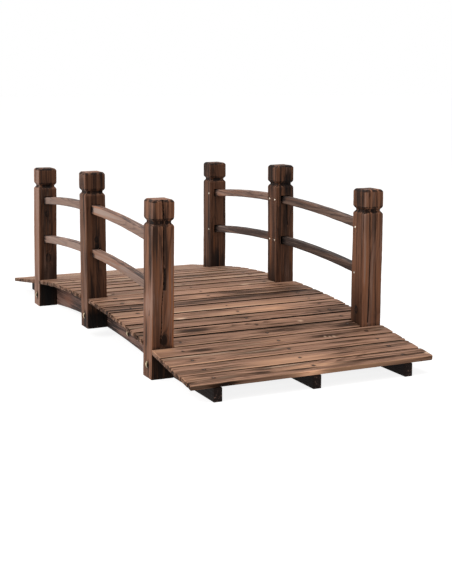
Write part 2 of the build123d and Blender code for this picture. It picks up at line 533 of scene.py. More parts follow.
def patches(spots, marks, x, across):
    """Painted strength at every vertex of the marks on one board."""
    strength = np.zeros(len(spots))
    for y, length, amount in marks:
        centre = (x + dice.uniform(-stray_patch, stray_patch), y, 0)
        strength += amount * blot(spots * (1, 1, 0), centre, (across, patch_stretch * length, 1))
    return strength


def hump(places, middle, reach):
    """One at the middle and fading to nothing at about twice the reach."""
    return np.exp(-(((places - middle) / reach) ** 2))


def paint_board(board, node, dents, splits):
    kind = node.split("_")[1]
    x = middle_of(node).x
    board_width, board_length = board_size(node)
    spots, facing = corners_of(board), normals_of(board)
    near_edge = (spots[:, 0] - x) / (board_width / 2)
    front = (node == "near_apron_board_4") * (facing[:, 0] > 0.4)
    # Painted shade in the gaps between the boards, fading out toward the ends.
    gap_shade = np.clip((np.abs(near_edge) - gap_from) / gap_fade, 0, 1)
    gap_shade = gap_shade * (facing[:, 2] < gap_turn[kind]) * (1 - front)
    by_end = np.clip((np.abs(spots[:, 1]) - board_length / 2 + end_fade) / end_fade, 0, 1)
    scorch_and_shade = 0.7 * patches(spots, scorched_patches.get(node, []), x, scorch_reach)
    scorch_and_shade += 1.2 * dents**2 + 1.2 * splits + end_scorch[kind] * (np.abs(facing[:, 1]) > 0.6)
    scorch_and_shade += gap_shade_strength[kind] * gap_shade * (1 - by_end) + 1.3 * front * hump(spots[:, 1], *front_smear)
    warm = patches(spots, warm_patches.get(node, []), x, warm_reach)
    # A painted highlight in warm along each board's near top edge.
    warm += 0.6 * np.clip((near_edge - edge_highlight_from) / edge_highlight_fade, 0, 1) * (facing[:, 2] > 0.85)
    # The front edge is painted warm in the middle: bare wood, and partly a painted highlight.
    warm += 1.3 * front * hump(spots[:, 1], *front_warmth_and_highlight)
    warm += end_warmth[kind] * (np.abs(facing[:, 1]) > 0.25) * (facing[:, 2] > 0.35)
    pale = patches(spots, pale_scuffs.get(node, []), x + scuff_lane, scuff_reach)
    # The far bay's boards are painted paler all over, a painted sheen on the far deck.
    pale += 0.25 * (x < -half_post)
    tone = dice.uniform(*board_tones) - 0.12 * (node == "near_bay_board_3")
    # A painted highlight lightens the front edge just left of its middle.
    tone = tone + 1.5 * front * hump(spots[:, 1], *front_highlight)
    paint(board, dice.uniform(0, 9), tone, dice.uniform(*board_flames), scorch_and_shade, warm, pale)


# %% Make all the boards
boards = []
for node in sorted(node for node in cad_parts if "board" in node):
    board, lie, tilt = lay_board(node)
    dents, splits = nail_board(board, node, lie, tilt)
    paint_board(board, node, dents, splits)
    dress(board, [node])
    boards.append(board)

print("Boards:", len(boards), "triangles:", triangles(boards), "nails:", len(nail_places))

# %% [markdown]
# ## One post
# A post starts as a cube. Bisect cuts it at the levels of the groove, and the two rings in the groove
# are scaled in, so a V with a narrow floor runs round all four sides. The top ring is scaled in too,
# for the cap's slope. A bevel then rounds every edge apart from the groove's floor, which stays sharp
# as the cutter left it. Many thin bisects make a close grid, because the posts carry long cracks.

# %% Model the post blank on the Z axis, with its foot at zero
groove_foot, groove_low, groove_high, cap_foot = 0.3810, 0.3880, 0.3910, 0.3980
cap_slope = 0.4410
groove_depth, cap_chamfer = 0.006, 0.005
groove_floor = 1 - groove_depth / half_post
cap_top = 1 - cap_chamfer / half_post
post_rounding = 0.0026
post_lane, post_lane_count = 0.00275, 20
shaft_from, shaft_mesh, shaft_cuts = 0.0060, 0.0042, 90
cap_mesh, cap_cuts = 0.0040, 9


def at_height(*heights):
    """Test for vertices that lie at one of these heights."""
    return lambda vert: min(abs(vert.co.z - height) for height in heights) < 1e-5


post_blank = block("post_blank", (post_side, post_side, post_height), (0, 0, post_height / 2))
enter(post_blank)
slice_through((0, 0, 1), (groove_foot, groove_low, groove_high, cap_foot, cap_slope))
pick(post_blank, "VERT", at_height(groove_low, groove_high))
bpy.ops.transform.resize(value=(groove_floor, groove_floor, 1), center_override=(0, 0, groove_low))
pick(post_blank, "VERT", at_height(post_height))
bpy.ops.transform.resize(value=(cap_top, cap_top, 1), center_override=(0, 0, post_height))
in_groove = at_height(groove_low, groove_high)
at_foot = at_height(0)
pick(
    post_blank,
    "EDGE",
    lambda edge: not all(in_groove(vert) for vert in edge.verts)
    and not all(at_foot(vert) for vert in edge.verts),
)
bpy.ops.mesh.bevel(offset=post_rounding, segments=3, affect="EDGES", clamp_overlap=True)
bpy.ops.mesh.select_mode(type="FACE")
lanes = [(step - (post_lane_count - 1) / 2) * post_lane for step in range(post_lane_count)]
slice_through((1, 0, 0), lanes)
slice_through((0, 1, 0), lanes)
slice_through((0, 0, 1), [shaft_from + step * shaft_mesh for step in range(shaft_cuts)])
slice_through((0, 0, 1), [cap_foot + (step + 1) * cap_mesh for step in range(cap_cuts)])
leave()
print("Faces in a post:", len(post_blank.data.polygons))

# %% [markdown]
# ## What sets one post apart from the next
# Each post has its own marks, and they are listed by the face that they are on. *Tones* make a face
# lighter or darker, and *weathered* greys it. A crack is a line of points, each with its height above
# the foot and its distance from the face's middle, then its half width, its depth and how black it
# is. Stains are scorched, though a few by the mortises and just above the deck are painted shade;
# deck shade is painted shade that only darkens the wood just above the deck; bare wood is warm and
# rubbed wood is pale: each of these has the height and offset of its middle, its half width, its half
# height and its strength. A knot has its height, offset and radius. Under deck shade tells how dark
# the painted shade below the deck is.

# %% What marks each post
post_marks = {
    "near_left_post": {
        "tones": {"near": 0.25, "left": 0.02},
        "weathered": {"left": 0.40},
        "top": 0.5,
        "flame": 0.30,
        "under_deck_shade": 0.95,
        "cracks": [
            (
                "near",
                [
                    (0.446, 0.001), (0.39, 0.003), (0.33, 0.003), (0.262, 0.004), (0.23, 0.0025),
                    (0.18, -0.0014), (0.147, -0.0015), (0.122, -0.003), (0.10, -0.005), (0.07, -0.006),
                ],
                0.0011, 0.0040, 1.6,
            ),
            ("near", [(0.275, 0.0062), (0.25, 0.0072), (0.222, 0.0058)], 0.0024, 0.0018, 1.15),
            ("near", [(0.446, 0.002), (0.392, 0.003)], 0.0018, 0.0030, 1.4),
        ],
        "stains": [
            ("near", 0.40, 0.004, 0.005, 0.05, 0.5), ("near", 0.33, 0.009, 0.006, 0.06, 0.5),
            ("near", 0.36, -0.015, 0.014, 0.05, 0.4), ("near", 0.098, 0.003, 0.006, 0.016, 1.5),
            ("left", 0.09, -0.004, 0.012, 0.05, 0.5), ("left", 0.012, 0.0, 0.03, 0.025, 0.5),
            ("left", 0.30, 0.016, 0.010, 0.06, 0.6), ("left", 0.39, 0.0, 0.03, 0.06, 0.35),
            ("left", 0.23, -0.020, 0.008, 0.05, 0.5),
        ],
        "deck_shade": [("near", 0.09, -0.016, 0.014, 0.03, 0.45)],
        "bare": [("near", 0.20, 0.020, 0.010, 0.09, 0.8), ("near", 0.21, -0.012, 0.008, 0.12, 0.4)],
        "rubbed": [("left", 0.185, 0.0, 0.03, 0.03, 0.5)],
        "knots": [("near", 0.098, 0.003, 0.008), ("left", 0.165, 0.010, 0.005)],
    },
    "middle_left_post": {
        "tones": {"near": -0.53, "left": -0.14},
        "weathered": {"left": 0.35},
        "top": 0.5,
        "flame": 0.50,
        "under_deck_shade": 0.40,
        "cracks": [],
        "stains": [
            ("near", 0.24, 0.002, 0.008, 0.05, 0.8), ("near", 0.12, -0.014, 0.006, 0.06, 0.5),
            # The stains at 0.341, 0.2165 and 0.234 on the near face, by the rail ends, are painted shade.
            ("near", 0.42, 0.022, 0.008, 0.03, 0.6), ("near", 0.341, -0.017, 0.005, 0.014, 1.5),
            ("near", 0.2165, -0.017, 0.005, 0.010, 1.2), ("near", 0.234, 0.0, 0.006, 0.006, 1.2),
            ("left", 0.33, 0.010, 0.012, 0.05, 0.7), ("left", 0.20, 0.022, 0.008, 0.05, 1.0),
            ("left", 0.10, -0.010, 0.010, 0.06, 0.5), ("left", 0.41, 0.0, 0.02, 0.03, 0.5),
            ("left", 0.010, 0.0, 0.03, 0.025, 0.8),
        ],
        "deck_shade": [("near", 0.10, 0.0, 0.04, 0.03, 0.12)],
        "bare": [("near", 0.30, -0.016, 0.006, 0.10, 0.7), ("near", 0.22, -0.024, 0.004, 0.06, 0.9)],
        "rubbed": [],
        "knots": [("near", 0.255, -0.002, 0.0055)],
    },
    "far_left_post": {
        "tones": {"near": -0.52, "left": 0.0},
        "weathered": {"left": 1.00},
        "top": 0.1,
        "flame": 0.50,
        "under_deck_shade": 0.36,
        "cracks": [],
        "stains": [
            ("near", 0.30, 0.0, 0.012, 0.04, 0.15), ("left", 0.08, 0.004, 0.012, 0.05, 0.4),
            ("left", 0.42, 0.0, 0.02, 0.03, 0.5), ("left", 0.24, -0.014, 0.010, 0.06, 0.3),
        ],
        "deck_shade": [("near", 0.10, 0.0, 0.04, 0.03, 0.25)],
        "bare": [],
        "rubbed": [],
        "knots": [
            ("near", 0.300, 0.0, 0.007), ("near", 0.157, 0.002, 0.009), ("near", 0.128, -0.005, 0.004),
        ],
    },
    "near_right_post": {
        "tones": {"near": 0.20, "left": -0.17},
        "weathered": {"right": 0.30, "near": 0.36},
        "top": 0.1,
        "flame": 0.35,
        "under_deck_shade": 0.60,
        "cracks": [
            (
                "near",
                [
                    (0.446, -0.013), (0.40, -0.012), (0.36, -0.010), (0.29, -0.008), (0.20, -0.009),
                    (0.14, -0.010), (0.086, -0.012),
                ],
                0.0013, 0.0012, 1.2,
            ),
        ],
        "stains": [
            ("near", 0.36, 0.008, 0.018, 0.05, 0.35), ("near", 0.42, 0.012, 0.006, 0.03, 0.5),
            ("near", 0.16, 0.011, 0.003, 0.08, 0.5), ("left", 0.42, 0.0, 0.03, 0.03, 0.45),
            ("left", 0.32, -0.024, 0.006, 0.08, 0.4),
        ],
        "deck_shade": [("left", 0.09, 0.0, 0.04, 0.11, 0.66), ("near", 0.10, 0.006, 0.03, 0.05, 0.22)],
        "bare": [
            ("near", 0.24, -0.021, 0.009, 0.10, 0.9), ("near", 0.42, -0.021, 0.007, 0.03, 0.8),
            ("near", 0.20, 0.022, 0.008, 0.10, 0.7), ("left", 0.12, 0.0, 0.03, 0.08, 0.5),
        ],
        "rubbed": [("near", 0.25, -0.0236, 0.0022, 0.06, 1.5)],
        "knots": [("left", 0.118, -0.001, 0.007)],
    },
    "middle_right_post": {
        "tones": {"near": -0.36, "left": -0.32},
        "weathered": {"right": 0.30},
        "top": 0.1,
        "flame": 0.48,
        "under_deck_shade": 0.60,
        "cracks": [("near", [(0.326, 0.002), (0.264, 0.006)], 0.0016, 0.0020, 1.3)],
        "stains": [
            ("left", 0.25, 0.024, 0.005, 0.12, 0.5), ("near", 0.29, -0.006, 0.010, 0.05, 0.4),
            ("near", 0.39, 0.004, 0.025, 0.03, 0.7), ("left", 0.42, 0.0, 0.03, 0.04, 0.5),
        ],
        "deck_shade": [("left", 0.09, 0.0, 0.04, 0.06, 0.55)],
        "bare": [
            ("left", 0.18, -0.010, 0.006, 0.10, 0.6), ("near", 0.26, 0.020, 0.005, 0.06, 0.5),
            ("near", 0.165, 0.021, 0.006, 0.035, 0.9),
        ],
        "rubbed": [("left", 0.266, 0.0235, 0.003, 0.035, 1.0)],
        "knots": [],
    },
    "far_right_post": {
        "tones": {"near": -0.54, "left": -0.36},
        "weathered": {"right": 0.30},
        "top": 0.1,
        "flame": 0.55,
        "under_deck_shade": 0.60,
        "cracks": [],
        "stains": [
            # The near-face stain at 0.105, just above the deck, is painted shade.
            ("near", 0.105, 0.002, 0.022, 0.035, 1.1), ("left", 0.20, 0.020, 0.006, 0.10, 0.5),
            ("left", 0.42, 0.0, 0.03, 0.03, 0.4),
        ],
        "deck_shade": [("left", 0.085, 0.0, 0.04, 0.03, 0.45)],
        "bare": [("left", 0.30, 0.0, 0.006, 0.10, 0.6), ("near", 0.17, -0.014, 0.006, 0.04, 0.6)],
        "rubbed": [],
        "knots": [],
    },
}
face_normals = {"near": (1, 0), "far": (-1, 0), "left": (0, -1), "right": (0, 1)}
print("Cracks:", sum(len(marks["cracks"]) for marks in post_marks.values()))

# %% [markdown]
# ## Mortises
# The rails end in blind mortises, cut a little large, so that a dark gap shows round them. A cutter
# the size of each mortise is turned to the rail's slope, and a Boolean will take it out of the post.
# The rails stand a little outside the posts' middle, and the mortises are wider by as much.

# %% Cutters for the mortises
rail_nodes = sorted(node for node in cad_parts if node.endswith("_rail"))
rail_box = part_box("near_left_upper_rail")
rail_thickness = rail_box[1].y - rail_box[0].y
tenon = rail_box[0].x
tenon_length = half_post - tenon
mortise_play = Vector((0.001, 0.003, 0.0027))
rail_shift = {"left": -0.001, "right": 0.0025}
rail_levels = {"upper": 0.3685, "lower": 0.2440}
rail_depth = 2 * (rail_box[1].z - rail_levels["upper"])
mortise_lift = 0.00115


def rail_height(level, x):
    """Middle of a rail at x, on its arch."""
    return rail_levels[level] - rail_radius + math.sqrt(rail_radius**2 - x**2)


def mortise_cutter(side, level, x, y):
    """Block that fills the mortise whose open side is half a post away from x."""
    width = rail_thickness + 2 * abs(rail_shift[side])
    cutter = block("mortise_cutter", Vector((2 * tenon_length, width, rail_depth)) + mortise_play)
    spot = Vector((x, y, rail_height(level, abs(x)) + mortise_lift))
    slope = math.asin(x / rail_radius)
    cutter.matrix_world = Matrix.Translation(spot) @ Matrix.Rotation(slope, 4, "Y")
    apply_place(cutter)
    return cutter


print(f"Rail {rail_thickness:.3f} x {rail_depth:.3f}, tenon {tenon_length:.3f}")

# %% [markdown]
# ## Working and painting a post
# The blank is set in its place and leant, and its faces are made a little uneven. Cracks are cut in
# where the mesh was made closer for them, and knots stand up. The same weights then become paint. The
# groove is black, since the flame gathers there. The inside of each mortise is painted black as
# painted shade, and a painted shadow lies beside each bolt head. Below the deck, and just above it, the
# posts are painted darker as painted shade, and the corners of the cap are rubbed bare.


# %% Weights of cracks, knots and long marks on a face
def on_face(spots, facing, face, centre):
    """Which vertices lie on the named face, and how far each one is from the face's middle line."""
    x, y = face_normals[face]
    flat = facing[:, 0] * x + facing[:, 1] * y > 0.6
    offset = (spots[:, 1] - centre.y) if x else (spots[:, 0] - centre.x)
    return flat, offset


def crack_weights(spots, facing, foot, centre, crack):
    face, line, width, _, _ = crack
    flat, offset = on_face(spots, facing, face, centre)
    heights, lanes = zip(*sorted(line))
    height = spots[:, 2] - foot
    open_part = (height > heights[0]) * (height < heights[-1] + 0.001)
    return flat * open_part * hump(offset, np.interp(height, heights, lanes), width)


def smear(spots, facing, foot, centre, mark):
    face, height, lane, half_wide, half_high, amount = mark
    flat, offset = on_face(spots, facing, face, centre)
    away = ((spots[:, 2] - foot - height) / half_high) ** 2 + ((offset - lane) / half_wide) ** 2
    return flat * amount * np.exp(-away)


def knot_weights(spots, facing, foot, centre, knot):
    """A knot is a smear of full strength that is longer than it is wide."""
    face, height, lane, radius = knot
    return smear(spots, facing, foot, centre, (face, height, lane, radius, 1.7 * radius, 1.0))


print("Faces that carry marks:", list(face_normals))

# %% Cut, bend, crack and mortise one post
post_warp, plane_marks = 0.0016, 0.0010
crack_mesh = 0.0045
knot_rise = 0.0007


def by_crack(face, crack, foot, centre):
    """Whether a face of the mesh lies beside a crack, so that it needs closer mesh."""
    spot = face.calc_center_median()
    heights, lanes = zip(*sorted(crack[1]))
    height = spot.z - foot
    lane = float(np.interp(height, heights, lanes))
    beside = face.normal.x > 0.6 and abs(spot.y - centre.y - lane) < crack_mesh
    return beside and heights[0] < height < heights[-1] + 0.001


def work_post(node, marks):
    centre = middle_of(node)
    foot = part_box(node)[0].z
    station, side, _ = node.split("_")
    tilt = Matrix.Rotation(-lean_at_top[side][station] / post_height, 4, "X")
    post = cut_copy(post_blank, node + "_worked", Matrix.Translation((centre.x, centre.y, foot)) @ tilt)
    bend(post, warp_clouds, "X", post_warp)
    bend(post, warp_clouds, "Y", post_warp)
    bend(post, plane_clouds, "NORMAL", plane_marks)
    for crack in marks["cracks"]:
        refine(post, lambda face: by_crack(face, crack, foot, centre), 3)
        chisel(post, crack_weights(corners_of(post), normals_of(post), foot, centre, crack), crack[3])
    spots, facing = corners_of(post), normals_of(post)
    for knot in marks["knots"]:
        chisel(post, knot_weights(spots, facing, foot, centre, knot), -knot_rise)
    for level in rail_levels:
        for bay in (-1, 1):
            x = centre.x + bay * half_post
            if abs(x) < post_spacing:
                cutter = mortise_cutter(side, level, x, centre.y + lean(side, x, rail_levels[level]))
                apply_modifier(post, "BOOLEAN", object=cutter, operation="DIFFERENCE", solver="EXACT")
                bpy.data.objects.remove(cutter)
    return post


print("Posts to work:", len(post_marks))

# %% Paint one post
charred_groove = 0.0042
bolt_shadow, bolt_shadow_shift = (0.0075, 0.02, 0.0095), 0.006
deck_line, deck_line_fade = 0.085, 0.02
mortise_from = 0.12


def paint_post(post, node, marks):
    centre = middle_of(node)
    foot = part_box(node)[0].z
    station, side, _ = node.split("_")
    spots, facing = corners_of(post), normals_of(post)
    height = spots[:, 2] - foot

    def smears(kind):
        return sum((smear(spots, facing, foot, centre, mark) for mark in marks[kind]), np.zeros(len(spots)))

    def toward(face):
        x, y = face_normals[face]
        return facing[:, 0] * x + facing[:, 1] * y

    scorch_and_shade = np.zeros(len(spots))
    for crack in marks["cracks"]:
        scorch_and_shade = np.maximum(scorch_and_shade, crack[4] * crack_weights(spots, facing, foot, centre, crack))
    scorch_and_shade += smears("stains")
    # A painted shadow lies beside each bolt head, on its near side.
    bolt_spot = (centre.x + bolt_shadow_shift, math.copysign(post_outer, centre.y), foot + post_bolt_rise)
    scorch_and_shade += 2.0 * (toward(side) > 0.6) * blot(spots, bolt_spot, bolt_shadow)
    scorch_and_shade += 0.8 * hump(height, (groove_low + groove_high) / 2, charred_groove)
    # Below the deck line the near and far faces are painted dark, as painted shade.
    under_deck_shade = np.clip((deck_line - spots[:, 2]) / deck_line_fade, 0, 1) * (np.abs(facing[:, 0]) > 0.6)
    scorch_and_shade += 0.4 * under_deck_shade + (0.6 - marks["top"]) * (facing[:, 2] > 0.6)
    on_cap = height > cap_foot
    sloping = (np.abs(facing[:, 2]) > 0.25) * (facing[:, 2] < 0.9)
    scorch_and_shade += 0.45 * sloping * (height > cap_foot - 0.001)

    lean_here = lean_at_top[side][station] * height / post_height
    sides = np.abs(np.stack([spots[:, 0] - centre.x, spots[:, 1] - centre.y - lean_here]).T) / half_post
    corner = np.clip((sides.min(axis=1) - 0.80) / 0.15, 0, 1)
    warm = 0.5 * corner * on_cap + 0.2 * corner * (height < groove_foot) + smears("bare")
    # Painted shade darkens the wood below the deck and just above it.
    tone = -marks["under_deck_shade"] * under_deck_shade - 0.04 * on_cap - smears("deck_shade")
    for face, amount in marks["tones"].items():
        tone += amount * np.clip(toward(face), 0, 1)
    pale = marks["top"] * (facing[:, 2] > 0.6) + smears("rubbed")
    for face, amount in marks["weathered"].items():
        pale += amount * (toward(face) > 0.7)
    knots = np.zeros(len(spots))
    for knot in marks["knots"]:
        knots = np.maximum(knots, knot_weights(spots, facing, foot, centre, knot))
    # The inside of each mortise is painted black, as painted shade.
    mortise_shade = (sides.max(axis=1) < 0.90) & (height > mortise_from) & (height < groove_foot - 0.01)
    scorch_and_shade[mortise_shade] = 2.0
    paint(post, dice.uniform(0, 9), tone, marks["flame"], scorch_and_shade, warm, pale, knots)


# %% Make all the posts
posts = []
for node, marks in post_marks.items():
    post = work_post(node, marks)
    paint_post(post, node, marks)
    dress(post, [node])
    posts.append(post)

print("Posts:", len(posts), "triangles:", triangles(posts))

# %% [markdown]
# ## One rail, eight times
# A rail is an arched bar with eased corners. Its section is drawn as a plane on edge, its corners are
# rounded and its sides divided, and Spin swings it about the centre of the arch. The bars of all four
# bays have the same arch, so one blank is copied: moved down for the lower rails, across for the
# right side, and turned half round for the far bays.

# %% Model the rail blank at the near bay's upper level, on the middle line
rail_rounding, rail_lanes, rail_steps = 0.0026, 5, 90
bpy.ops.mesh.primitive_plane_add(size=1, rotation=(0, math.radians(90), 0))
rail_blank = bpy.context.object
rail_blank.name = "rail_blank"
rail_blank.scale = (rail_depth, rail_thickness, 1)
apply_place(rail_blank)
enter(rail_blank)
bpy.ops.mesh.select_mode(type="VERT")
bpy.ops.mesh.select_all(action="SELECT")
bpy.ops.mesh.bevel(offset=rail_rounding, segments=3, affect="VERTICES")
pick(rail_blank, "EDGE", lambda edge: edge.calc_length() > 0.01)
bpy.ops.mesh.subdivide(number_cuts=rail_lanes)
bpy.ops.mesh.select_mode(type="FACE")
bpy.ops.mesh.select_all(action="SELECT")
swing_from = math.asin(tenon / rail_radius)
swing_to = math.asin((post_spacing - tenon) / rail_radius)
bpy.ops.mesh.spin(
    steps=rail_steps,
    angle=swing_from - swing_to,
    center=(0, 0, -rail_radius),
    axis=(0, 1, 0),
    dupli=False,
)
leave()
spun = corners_of(rail_blank)
print("Rail blank from", spun.min(axis=0).round(4), "to", spun.max(axis=0).round(4))

# %% [markdown]
# ## Eight rails, each with its own colour
# The rails had more or less flame, and most are lighter toward one end. Tones and warmth are given at
# the middle post and at the end post, and the colour runs from one to the other. Each rail follows the
# lean of the two posts that hold it, and its ends are darker by the posts. One rail was sawn a little
# deeper than the others.

# %% Place and paint the rails
rail_looks = {
    "near_left_upper_rail": {"tones": (0.12, -0.12), "warmth": (0.9, 0.0), "flame": 0.42},
    "near_left_lower_rail": {"tones": (-0.06, -0.22), "warmth": (0.7, 0.1), "flame": 0.50},
    "far_left_upper_rail": {"tones": (-0.12, -0.18), "warmth": (0.0, 0.0), "flame": 0.42},
    "far_left_lower_rail": {"tones": (0.06, 0.10), "warmth": (0.1, 0.3), "flame": 0.45},
    "near_right_upper_rail": {"tones": (-0.52, -0.40), "warmth": (0.3, 0.4), "flame": 0.60},
    "near_right_lower_rail": {"tones": (-0.54, -0.58), "warmth": (0.0, 0.0), "flame": 1.00},
    "far_right_upper_rail": {"tones": (-0.18, 0.05), "warmth": (0.2, 0.5), "flame": 0.50},
    "far_right_lower_rail": {"tones": (-0.34, -0.20), "warmth": (-0.3, -0.3), "flame": 1.00},
}
rail_sway, rail_wave = 0.0012, 0.0010
thick_rail = {"near_left_upper_rail": 0.0011}
post_shade = 0.014
rails = []
for node in rail_nodes:
    end, side, level, _ = node.split("_")
    y = middle_of(f"near_{side}_post").y
    rise = Matrix.Translation((0, 0, rail_levels[level] - rail_radius))
    start = Matrix.Rotation(swing_from, 4, "Y") @ Matrix.Translation((0, 0, rail_radius))
    turn = Matrix.Identity(4) if end == "near" else Matrix.Rotation(math.pi, 4, "Z")
    at_middle = lean(side, 0, rail_levels[level])
    at_end = lean(side, post_spacing if end == "near" else -post_spacing, rail_levels[level])
    skew = math.atan((at_end - at_middle) / post_spacing) * (1 if end == "near" else -1)
    held = Matrix.Translation((0, y + rail_shift[side] + at_middle, 0)) @ Matrix.Rotation(skew, 4, "Z")
    rail = cut_copy(rail_blank, node + "_bar", held @ turn @ rise @ start)
    if node in thick_rail:
        chisel(rail, np.abs(normals_of(rail)[:, 2]), -thick_rail[node])
    bend(rail, edge_clouds, "Y", rail_sway)
    bend(rail, edge_clouds, "Z", rail_wave)
    spots, facing = corners_of(rail), normals_of(rail)
    outer = facing[:, 1] * math.copysign(1, y) > 0.7
    along = np.abs(spots[:, 0])
    to_post = np.minimum(np.abs(along - half_post), np.abs(along - post_spacing + half_post))
    scorch_and_shade = 0.25 * (facing[:, 2] > 0.7) + 0.2 * (facing[:, 2] < -0.7) + 0.9 * hump(to_post, 0, post_shade)
    looks = rail_looks[node]
    tone = np.interp(along / post_spacing, (0, 1), looks["tones"])
    warm = np.interp(along / post_spacing, (0, 1), looks["warmth"])
    paint(rail, dice.uniform(0, 9), tone, looks["flame"], scorch_and_shade, warm, 0.45 * outer)
    dress(rail, [node])
    rails.append(rail)

print("Rails:", len(rails), "triangles:", triangles(rails))

# %% [markdown]
# ## Stringers and splice plates
# A stringer is a plank on edge. Its top follows the deck, first the arch and then the straight ramp,
# and its underside is hollowed so that it stands on two feet. A cube is cut across at close stations,
# and each station's corners are set to the two curves, as a maker sets out a template. Each stringer
# is two halves that meet at mid-span, with a plate bolted across the joint behind.

# %% Model half a stringer on the middle line
bridge_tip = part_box("middle_stringer")[1].x
half_joint = 0.0003
arch_half_span, arch_rise = 0.465, 0.027
arch_radius = (arch_half_span**2 + arch_rise**2) / (2 * arch_rise)
stringer_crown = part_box("middle_stringer")[1].z


def stringer_top(x):
    reach = min(x, post_spacing)
    on_arch = stringer_crown - deck_radius + math.sqrt(deck_radius**2 - reach**2)
    return on_arch - (x - reach) * math.tan(deck_tilt(post_spacing))


def stringer_foot(x):
    if x >= arch_half_span:
        return 0.0
    return arch_rise - arch_radius + math.sqrt(arch_radius**2 - x**2)


half_run = bridge_tip - half_joint
stringer_steps, stringer_rows, stringer_lane, stringer_rounding = 75, 8, 0.0055, 0.0012
stringer_blank = block("stringer_blank", (half_run, stringer_thickness, 1), (half_joint + half_run / 2, 0, 0))
enter(stringer_blank)
stations = [half_joint + half_run * step / stringer_steps for step in range(1, stringer_steps)]
slice_through((1, 0, 0), stations + [arch_half_span, post_spacing])
slice_through((0, 1, 0), [-stringer_lane, 0.0, stringer_lane])
slice_through((0, 0, 1), [step / stringer_rows - 0.5 for step in range(1, stringer_rows)])
shape = bmesh.from_edit_mesh(stringer_blank.data)
for vert in shape.verts:
    share = vert.co.z + 0.5
    vert.co.z = stringer_foot(vert.co.x) * (1 - share) + stringer_top(vert.co.x) * share
bmesh.update_edit_mesh(stringer_blank.data)
bpy.ops.mesh.select_mode(type="EDGE")
bpy.ops.mesh.select_all(action="DESELECT")
bpy.ops.mesh.edges_select_sharp(sharpness=math.radians(50))
bpy.ops.mesh.bevel(offset=stringer_rounding, segments=2, affect="EDGES")
leave()
print("Faces in half a stringer:", len(stringer_blank.data.polygons))

# %% Place the stringers and paint their shaded parts dark, as painted shade under the deck
splice_bolt_reach, splice_bolt_rise = 0.194, 0.044
stringer_sway = 0.0008
tip_end = 0.004
apron_from, apron_fade = 0.50, 0.03
bare_stretch, shaded_stretch = (-0.33, 0.05), (0.06, 0.05)
splice_bolt_shadow, splice_bolt_shadow_shift = (0.011, 0.02, 0.012), 0.006
board_shade = 0.035
stringers = []
for side, line in stringer_lines.items():
    halves = []
    for turn in (0, math.pi):
        lie = Matrix.Translation((0, line, 0)) @ Matrix.Rotation(turn, 4, "Z")
        half = cut_copy(stringer_blank, f"{side}_half", lie)
        bend(half, edge_clouds, "Y", stringer_sway)
        halves.append(half)
    stringer = join(halves, f"{side}_stringer_pair")
    spots = corners_of(stringer)
    along = np.abs(spots[:, 0])
    tips = np.clip((along - bridge_tip + tip_end) / tip_end, 0, 1)
    under_apron_shade = np.clip((along - apron_from) / apron_fade, 0, 1)
    # The middle and right stringers, and the left one under the apron, are painted near black as painted
    # shade under the deck, less so on their end faces.
    scorch_and_shade = (0.2 + 2.0 * under_apron_shade if side == "left" else 2.0) - 1.1 * tips
    # A painted shadow lies beside each splice bolt, on its near side.
    for x in (-splice_bolt_reach, splice_bolt_reach):
        shadow_spot = (x + splice_bolt_shadow_shift, line, splice_bolt_rise)
        scorch_and_shade = scorch_and_shade + 1.4 * blot(spots, shadow_spot, splice_bolt_shadow)
    shade_from = np.array([stringer_top(x) - board_shade for x in along])
    scorch_and_shade = scorch_and_shade + 0.9 * np.clip((spots[:, 2] - shade_from) / board_shade, 0, 1)
    # A stretch just on the near side of the middle posts gets painted shade too.
    scorch_and_shade = scorch_and_shade + 0.9 * hump(spots[:, 0], *shaded_stretch)
    warm = 0.7 * (side == "left") * hump(spots[:, 0], *bare_stretch)
    paint(stringer, dice.uniform(0, 9), 0.12 * (side == "left"), 0.5, scorch_and_shade, warm)
    dress(stringer, [f"{side}_stringer"])
    stringers.append(stringer)

print("Stringers:", len(stringers), "triangles:", triangles(stringers))

# %% Splice plates behind the joints
plate_low, plate_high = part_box("splice_plates")
plate_thickness, plate_rounding, plate_roughness = 0.020, 0.0015, 0.0020
plate_columns, plate_rows = 40, 8
plate_size = Vector((plate_high.x - plate_low.x, plate_thickness, plate_high.z - plate_low.z))
plate_blank = block("splice_blank", plate_size)
enter(plate_blank)
bpy.ops.mesh.bevel(offset=plate_rounding, segments=2, affect="EDGES")
slice_through((1, 0, 0), [plate_size.x * (step / plate_columns - 0.5) for step in range(1, plate_columns)])
slice_through((0, 0, 1), [plate_size.z * (step / plate_rows - 0.5) for step in range(1, plate_rows)])
leave()
plates = []
splice_sides = {"left": 1, "middle": 1, "right": -1}
for side, line in stringer_lines.items():
    y = line + splice_sides[side] * (stringer_thickness + plate_thickness) / 2
    lie = Matrix.Translation((0, y, (plate_low.z + plate_high.z) / 2))
    plates.append(cut_copy(plate_blank, f"{side}_splice", lie))
splices = join(plates, "splice_plates_sawn")
bend(splices, end_clouds, "X", plate_roughness)
paint(splices, 4.2, -0.1, 0.5, 0.2)
dress(splices, ["splice_plates"])
print("Splice plates:", len(plates), "triangles:", triangles([splices]))

# %% [markdown]
# ## Brass bolts
# A carriage bolt has a low domed head, a shank and a nut. The profile of the head and shank is drawn
# by extruding one vertex from point to point, and Spin turns it round the bolt's own axis. The nut is
# a six-sided cylinder with its corners bevelled. Three grips are needed: through an end post and a
# stringer, through a middle post, a stringer and its splice, and through a stringer and its splice.
# Each bolt is painted dark on its near side, a painted dark reflection in the domed head.

# %% Model a bolt of any grip, head up, with the head's underside at zero
head_radius, head_rise, shank_radius = 0.008, 0.004, 0.003
nut_radius, nut_height, bolt_tip = 0.0058, 0.005, 0.003
rim_lip, rim_height, rim_edge = 0.0003, 0.0008, 0.0006
tip_chamfer, nut_rounding = 0.0008, 0.0006
turns = 32


